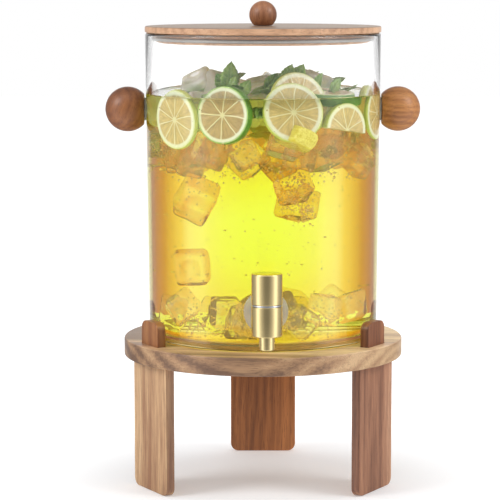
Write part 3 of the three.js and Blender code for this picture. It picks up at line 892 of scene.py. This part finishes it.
def leaf_material():
    s = Shader("mint_leaf")
    p = s.position()
    x, y, _ = s.xyz(p)
    slant = s.scaled(s.math("ABSOLUTE", y), -0.9, x)
    ribs = s.math("PINGPONG", s.times(slant, 240.0), 0.5)
    middle = s.ramp(s.times(s.math("ABSOLUTE", y), 1000.0), [(0.25, 1.0), (0.7, 0.0)])
    veins = s.math("MAXIMUM", s.ramp(ribs, [(0.03, 1.0), (0.10, 0.0)]), middle)
    patches = s.noise(p, 160.0, 4.0)
    green = s.ramp(patches, [(0.35, (0.10, 0.25, 0.03)), (0.65, (0.32, 0.50, 0.10))])
    colour = s.mix(s.times(veins, 0.6), green, (0.40, 0.55, 0.22))
    height = s.scaled(veins, -0.8, s.times(patches, 0.5))
    s.surface(Base_Color=colour, Roughness=0.45, Normal=s.bump(height, 0.6, 0.0006), Coat_Weight=0.15)
    return s.block


def mint_leaf(name, place, length, width, bend, material):
    """A serrated leaf, folded along its middle rib and curved along its length; Z is its upper side."""
    bm = bmesh.new()
    rows, columns = 28, 5
    grid = []
    for i in range(rows + 1):
        u = i / rows
        half = width / 2 * math.sin(math.pi * min(1.0, u * 1.02 + 0.01)) ** 0.75 * (1.15 - 0.4 * u)
        half *= 0.9 + 0.30 * abs((u * 7) % 1.0 - 0.5)
        arc = bend * u
        row = []
        for j in range(-columns, columns + 1):
            v = j / columns
            puff = 0.35 * math.sin(u * 26 - abs(v) * 7) * abs(v) * (1 - abs(v))
            lift = 0.28 * abs(v) * half + puff - 0.35 * half * v * v
            along_leaf = length * (math.sin(arc) / bend if bend else u)
            down = length * ((1 - math.cos(arc)) / bend if bend else 0)
            row.append(bm.verts.new(Vector((along_leaf, v * half, lift - down)) * MM))
        grid.append(row)
    skin(bm, grid, around=2 * columns)
    piece = add_content(name, bm, material, place)
    thick = piece.modifiers.new("thickness", "SOLIDIFY")
    thick.thickness = 0.35 * MM
    apply_modifiers(piece)
    piece.data.shade_smooth()


def fruit_chunk(name, place, size):
    """A wedge of pineapple: fibrous, tapered, with soft corners."""
    s = Shader(name + "_flesh")
    p = s.position()
    fibre = s.noise(s.place(p, scale=(700, 700, 60)), 1.0, 4.0)
    tone = s.ramp(fibre, [(0.3, (0.62, 0.50, 0.04)), (0.7, (0.85, 0.78, 0.16))])
    s.surface(Base_Color=tone, Roughness=0.4, Normal=s.bump(fibre, 0.5, 0.0008), Coat_Weight=0.2)
    bm = bmesh.new()
    bmesh.ops.create_cube(bm, size=1)
    bmesh.ops.subdivide_edges(bm, edges=bm.edges, cuts=9, use_grid_fill=True)
    for vert in bm.verts:
        flat = vert.co * 2
        soft = flat.lerp(flat.normalized() * 1.3, max(0.0, min(1.0, flat.length - 1.3)))
        taper = 0.72 + 0.28 * (1 - flat.z) / 2
        rough = 1 + 0.04 * noise.noise(flat * 2.5)
        vert.co = Vector((soft.x * size[0] * taper, soft.y * size[1], soft.z * size[2])) * 0.5 * rough * MM
    add_content(name, bm, s.block, place)


def bubbles(name, count, place_one, seed, material):
    """Many small air bubbles as one piece."""
    rng = random.Random(seed)
    ball = bmesh.new()
    bmesh.ops.create_icosphere(ball, subdivisions=2, radius=1)
    corners = [v.co.copy() for v in ball.verts]
    sides = [[v.index for v in face.verts] for face in ball.faces]
    ball.free()
    vertices, faces = [], []
    for _ in range(count):
        point, radius = place_one(rng)
        start = len(vertices)
        vertices.extend(point + corner * radius * MM for corner in corners)
        faces.extend([start + k for k in side] for side in sides)
    mesh = bpy.data.meshes.new(name)
    mesh.from_pydata(vertices, [], faces)
    mesh.shade_smooth()
    mesh.materials.append(material)
    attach(linked(name, mesh), "jar")


SLICES = {  # spot for in_jar(), facing angle, tilt, roll, radius, thickness, segments and palette
    "lemon_slice_left": ((-51, 88, 317), -51, -4, 20, 24.8, 5, 10, LEMON),
    "lime_slice": ((-20.5, 86, 322), -31, 4, 5, 23.8, 8, 8, LIME),
    "lemon_slice_middle": ((16, 86.5, 324), 14, 16, 90, 24.6, 5, 10, LEMON),
    "lemon_slice_behind": ((23, 74, 331), 27, 18, 40, 25.5, 5, 10, LEMON),
    "lemon_slice_right": ((79, 90, 320), 71, 2, 60, 22.5, 5, 9, LEMON),
    "lemon_slice_back_right": ((128, 86, 310), 128, 6, 15, 22.0, 5, 8, LEMON),
    "lemon_slice_back": ((170, 87, 312), 172, 5, 70, 24.0, 5, 10, LEMON),
    "lemon_slice_back_left": ((-146, 86, 311), -140, -6, 35, 24.4, 5, 9, LEMON),
    "half_lemon_slice": ((47.5, 88, 308), 45, 4, -9, 23, 7, 9, LEMON),
    "lime_slice_flat": ((52, 66, 334), 60, 84, 0, 24, 9, 8, LIME),
}
SUNK_ICE = [  # spots for in_jar(); the first two cubes are the large ones beside the fruit
    (-46, 71, 250), (-46, 77, 193), (-56, 74, 158), (-24, 70, 156), (-50, 40, 150), (38, 78, 158),
    (60, 80, 158), (24, 74, 148), (20, 68, 262), (70, 50, 160), (-5, 40, 146), (-4, 58, 160), (8, 20, 150),
    (12, 74, 158), (-14, 60, 146), (-72, 70, 150), (30, 50, 246), (16, 45, 279), (-8, 70, 150),
    (170, 50, 152), (150, 30, 146),
]
SPRIGS = [  # spot for in_jar(), length of the first leaf, its rise in degrees and the number of leaves
    (-26, 66, 338, 27, 80, 12), (-17, 68, 336, 17, 55, 7), (-2, 80, 328, 17, -35, 9),
    (0, 82, 322, 14, 30, 8), (8, 60, 338, 18, 60, 8), (18, 56, 343, 20, 70, 8), (27, 52, 342, 22, 60, 8),
    (42, 60, 338, 20, 50, 7), (56, 68, 337, 16, 50, 7), (68, 74, 337, 13, 40, 7), (2, 50, 340, 18, 50, 7),
    (-46, 64, 336, 15, 15, 4), (78, 66, 337, 16, 20, 5), (105, 56, 338, 20, 30, 5),
    (140, 50, 339, 22, 35, 5), (180, 58, 338, 20, 30, 5), (-140, 54, 339, 22, 30, 5),
    (-100, 60, 337, 20, 30, 5), (-72, 60, 336, 16, 20, 4),
]
CLUSTERS = [  # spot for in_jar() and spread in mm
    (21, 74, 262, 13), (15, 74, 248, 11), (26, 74, 240, 9), (-6, 74, 160, 13), (-12, 74, 148, 14),
    (12, 74, 152, 13), (35, 80, 146, 16), (-40, 80, 146, 16),
]


def make_fruit():
    for name, (spot, angle, tilt, roll, radius, thickness, count, palette) in SLICES.items():
        place = facing(in_jar(*spot), angle, tilt, roll)
        citrus_slice(name, place, radius, thickness, count, palette, half=name.startswith("half"))
    fruit_chunk("pineapple_chunk", facing(in_jar(19.5, 85, 303), 20, 5, -28), (26, 14, 44))


def make_ice():
    """Cubes at set places, then a dense layer under the fruit and one afloat at the surface."""
    for i, (angle, reach, height) in enumerate(SUNK_ICE):
        material = ice_material if height > 170 else ice_on_base
        place = facing(in_jar(angle, reach, height), angle * 0.6)
        ice_cube(f"ice_cube_{i + 1}", place, 31 if i < 2 else 25, 40 + i, material)
    rng = random.Random(11)
    for i in range(30):
        outer = i < 18  # the other cubes lie in an inner ring
        angle = -172 + i * (20 if outer else 29) + rng.uniform(-5, 5)
        reach = rng.uniform(58, 78) if outer else rng.uniform(35, 55)
        place = facing(in_jar(angle, reach, rng.uniform(280, 302)), angle)
        ice_cube(f"ice_under_fruit_{i + 1}", place, rng.uniform(22, 27), 200 + i, ice_cloudy)
    rng = random.Random(7)
    for i in range(20):
        angle = -170 + i * 18 + rng.uniform(-8, 8)
        point = in_jar(angle, rng.uniform(20, 74), 330 + rng.uniform(-12, 8))
        ice_cube(f"ice_afloat_{i + 1}", Matrix.Translation(point), 26, 90 + i, ice_afloat)


def make_mint():
    """Sprigs with a large leaf each and smaller ones spread round the same stem."""
    green = leaf_material()
    rng = random.Random(5)
    for i, (angle, reach, height, length, rise, count) in enumerate(SPRIGS):
        stem = Matrix.Translation(in_jar(angle, reach, height))
        stem @= spin(rng.uniform(-0.6, 0.6))
        for k in range(count):
            size = length * (1.0 if k == 0 else rng.uniform(0.55, 0.8))
            lift = rise if k == 0 else rise * rng.uniform(0.15, 0.8)
            way = stem @ spin(2.4 * k) @ spin(math.radians(-lift), "Y")
            way @= spin(rng.uniform(-0.7, 0.7) + (1.57 if lift > 45 else 0), "X")
            mint_leaf(f"mint_{i + 1}_leaf_{k + 1}", way, size, size * 0.68, 0.9 if k else 0.3, green)


def make_bubbles():
    """Each inner function places one bubble: it returns its point and its radius in mm."""

    def near(spot, away):
        """A point some mm away from a spot, and above the jar's floor."""
        point = in_jar(*spot) + away * MM
        point.z = max(point.z, jar_low.z + BASE + 1.5 * MM)
        return point

    def on_the_wall(rng):
        height = 140 + 190 * rng.random() ** 0.8
        reach = (jar_radius(height * MM) - WALL) / MM - 0.9
        return in_jar(rng.uniform(-180, 180), reach, height), 0.3 + 0.5 * rng.random() ** 3

    def under_the_fruit(rng):
        reach = 91 * math.sqrt(rng.uniform(0.5, 1))
        point = in_jar(rng.uniform(-180, 180), reach, rng.triangular(258, 310, 285))
        return point, 0.35 + 0.9 * rng.random() ** 2

    def round_the_ice(rng):
        spot = SUNK_ICE[rng.randrange(len(SUNK_ICE))]
        away = Vector((rng.gauss(0, 1), rng.gauss(0, 1), rng.gauss(0, 1))).normalized()
        return near(spot, away * rng.uniform(8, 16)), 0.25 + 0.6 * rng.random() ** 2

    def in_clusters(rng):
        *spot, spread = CLUSTERS[rng.randrange(len(CLUSTERS))]
        away = Vector((rng.gauss(0, 1), rng.gauss(0, 0.4), rng.gauss(0, 1)))
        return near(spot, away * spread / 2), 0.4 + 0.8 * rng.random() ** 2

    bubbles("bubbles_on_glass", 600, on_the_wall, 3, bubble_material)
    bubbles("bubbles_under_fruit", 1100, under_the_fruit, 4, bubble_material)
    bubbles("bubbles_round_ice", 800, round_the_ice, 6, bubble_material)
    bubbles("bubble_clusters", 900, in_clusters, 8, bubble_material)


def dress_cad_nodes():
    """Finishes for the CAD nodes that stay: the fastenings and the valve."""
    finishes = {
        steel_metal: [
            "tap_plate_washer", "handle_plate_left", "handle_plate_right", "handle_screw_left",
            "handle_screw_right", "tap_set_screw", "lid_knob_washer", "lid_knob_screw",
        ],
        gold_metal: ["tap_nut", "tap_shank", "tap_spindle", "handle_insert_left", "handle_insert_right"],
        black_rubber: ["valve_seal_lower", "valve_seal_upper"],
    }
    for material, names in finishes.items():
        for name in names:
            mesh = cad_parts[name].data
            mesh.materials.clear()
            mesh.materials.append(material)


# --- camera, light and floor

CAMERA_DISTANCE = 1.9054
CAMERA_HEIGHT = 0.438
CAMERA_PITCH = 0.1243
CAMERA_LENS = 159.3
CAMERA_SHIFT = -0.026
AMBIENT = 0.92  # the studio's even light
GLOSS_BANDS = [
    (0.0, 0.22), (0.02, 0.26), (0.08, 0.5), (0.2, 1.0), (0.28, 1.9), (0.38, 1.7), (0.5, 0.6), (0.8, 0.35),
    (0.9, 0.25), (0.95, 0.8), (1.0, 1.2),
]  # what gloss sees, from the camera's side at 0 to behind the object at 1


def make_camera():
    data = bpy.data.cameras.new("camera")
    data.lens = CAMERA_LENS
    data.sensor_width = 36
    data.shift_x = CAMERA_SHIFT
    data.clip_end = 50
    camera = linked("camera", data)
    camera.location = AXIS + Vector((0, -CAMERA_DISTANCE, CAMERA_HEIGHT))
    camera.rotation_euler = (math.pi / 2 - CAMERA_PITCH, 0, 0)
    bpy.context.scene.camera = camera


def make_world():
    """A white studio. Gloss sees a darker front and softer sides, so that metal shows its shape."""
    s = Shader("studio", "World")
    bpy.context.scene.world = s.block
    y = s.xyz(s.node("TexCoord").outputs["Generated"])[1]
    ahead = s.node("MapRange", Value=y, From_Min=-1.0).outputs[0]
    bands = s.ramp(ahead, GLOSS_BANDS, "EASE")
    side = s.node(
        "MapRange", Value=y, From_Min=-1.0, From_Max=0.3, To_Min=0.55 * AMBIENT, To_Max=AMBIENT
    ).outputs[0]
    shown = s.node("Background", Color=(0.8, 0.8, 0.8), Strength=side).outputs[0]
    path = s.node("LightPath").outputs
    white = (1, 1, 1)
    for ray, strength, colour in (
        ("Is Glossy Ray", 1.0, bands), ("Is Transmission Ray", 1.3, white), ("Is Camera Ray", 1.0, white),
    ):
        part = s.node("Background", Color=colour, Strength=strength).outputs[0]
        shown = s.choose(path[ray], shown, part)
    s.feed(s.output.inputs["Surface"], shown)


def make_floor():
    """A pale floor that fades into the white studio further off. Gloss sees the studio through it."""
    bm = bmesh.new()
    bmesh.ops.create_grid(bm, x_segments=2, y_segments=2, size=6)
    s = Shader("pale_floor")
    grain = s.noise(s.position(), 3.0, 2.0)
    away = s.join("VectorMath", s.position(), operation="LENGTH").outputs["Value"]
    lift = s.ramp(s.times(away, 0.25), [(0.025, 0.2), (0.055, 0.48), (0.5, 0.55)])
    solid = s.surface(
        Base_Color=s.mix(grain, (0.82, 0.84, 0.86), (0.85, 0.87, 0.89)), Roughness=0.8,
        Specular_IOR_Level=0.0, Emission_Color=lift, Emission_Strength=1.0,
    )
    unseen = s.node("BsdfTransparent").outputs[0]
    glossy = s.node("LightPath").outputs["Is Glossy Ray"]
    s.feed(s.output.inputs["Surface"], s.choose(glossy, solid, unseen))
    floor = add_piece("floor", bm, s.block, None)
    floor.location.z = -0.2 * MM


def make_lamp(name, location, size, watts):
    data = bpy.data.lights.new(name, "AREA")
    data.shape = "DISK"
    data.size = size
    data.energy = watts
    lamp = linked(name, data)
    lamp.location = location
    lamp.rotation_euler = (AXIS + Vector((0, 0, 0.25)) - lamp.location).to_track_quat("-Z", "Y").to_euler()


def set_quality():
    scene = bpy.context.scene
    scene.view_settings.view_transform = "Standard"
    cycles = scene.cycles
    cycles.use_denoising = True
    cycles.max_bounces = cycles.transmission_bounces = cycles.transparent_max_bounces = 24
    cycles.glossy_bounces = 6
    cycles.diffuse_bounces = 4
    cycles.caustics_refractive = cycles.caustics_reflective = False
    cycles.sample_clamp_indirect = 6


make_camera()
make_world()
make_floor()
set_quality()
make_lamp("left_softbox", (-2.1, -1.0, 1.9), 1.4, 32)
make_lamp("right_softbox", (2.1, -0.9, 1.9), 1.4, 27)
make_board()
for leg, (turn, material, slot) in LEGS.items():
    make_leg(leg, turn, material)
make_jar()
make_drink()
make_washers()
make_tap()
make_ball("left", -1, left_ball_wood)
make_ball("right", 1, right_ball_wood)
make_lid()
make_fruit()
make_ice()
make_mint()
make_bubbles()
dress_cad_nodes()
